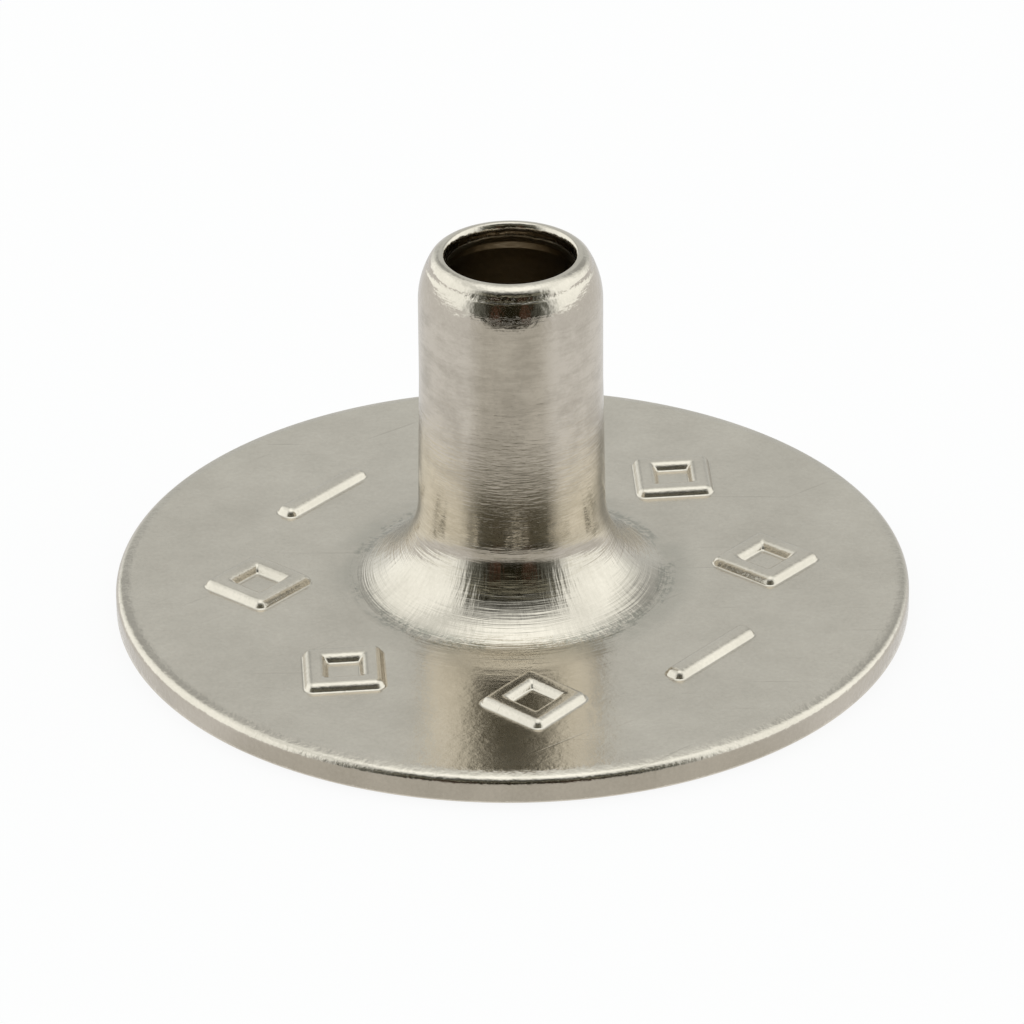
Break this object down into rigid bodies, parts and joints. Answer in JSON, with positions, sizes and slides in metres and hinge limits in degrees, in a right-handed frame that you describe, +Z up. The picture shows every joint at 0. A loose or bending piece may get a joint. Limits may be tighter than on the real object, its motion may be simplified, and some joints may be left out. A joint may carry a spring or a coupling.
{
  "type": "snap fastener post",
  "caption": "Flanged hollow post of a snap fastener: a thin disc with raised marks flares up into an open barrel whose mouth is turned in, ready to be set over a cap or stud.",
  "frame": {"origin": "centre of the flange's underside, on the axis of the barrel", "axes": "+Z up along the barrel, from the flange to the mouth; -Y towards the camera of the picture"},
  "size_m": [0.0159, 0.0158, 0.0078],
  "materials": {
    "plated_sheet": "nickel plated, satin"
  },
  "bodies": {
    "root": {"post": "plated_sheet"}
  },
  "joints": []
}
